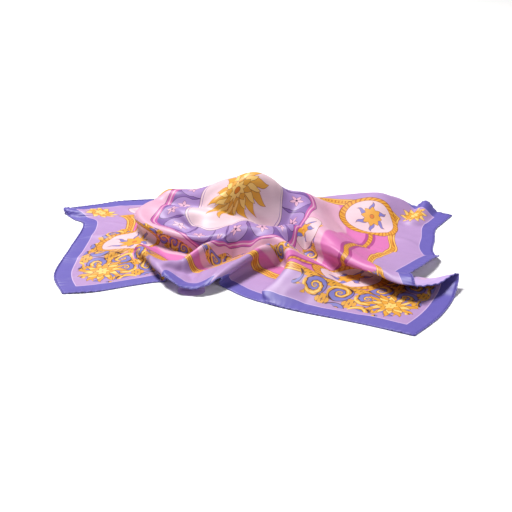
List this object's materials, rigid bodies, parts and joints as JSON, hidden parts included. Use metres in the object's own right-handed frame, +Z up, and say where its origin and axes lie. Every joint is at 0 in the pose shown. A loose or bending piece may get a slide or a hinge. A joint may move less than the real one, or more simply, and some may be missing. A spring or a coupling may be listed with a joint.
{
  "type": "silk square scarf",
  "caption": "Square silk scarf dropped in a loose heap, with rolled folds, a flap at the front and hand-rolled hems.",
  "frame": {"origin": "bottom centre of the bounding box, on the surface that the scarf lies on", "axes": "+X along the scarf's longest extent, towards the end with the doubled-back fold; +Z up out of the surface; -Y towards the front flap"},
  "size_m": [0.8703, 0.6576, 0.1224],
  "materials": {
    "printed_silk": "satin silk twill with a soft sheen, printed in pink, lilac and gold inside a blue-violet border",
    "hem_silk": "blue-violet silk, rolled and hand stitched"
  },
  "bodies": {
    "root": {"silk_square": "printed_silk", "under_fold": "printed_silk", "hidden_layers": "printed_silk", "hem_front": "hem_silk", "hem_right": "hem_silk", "hem_back": "hem_silk", "hem_left": "hem_silk"}
  },
  "joints": []
}
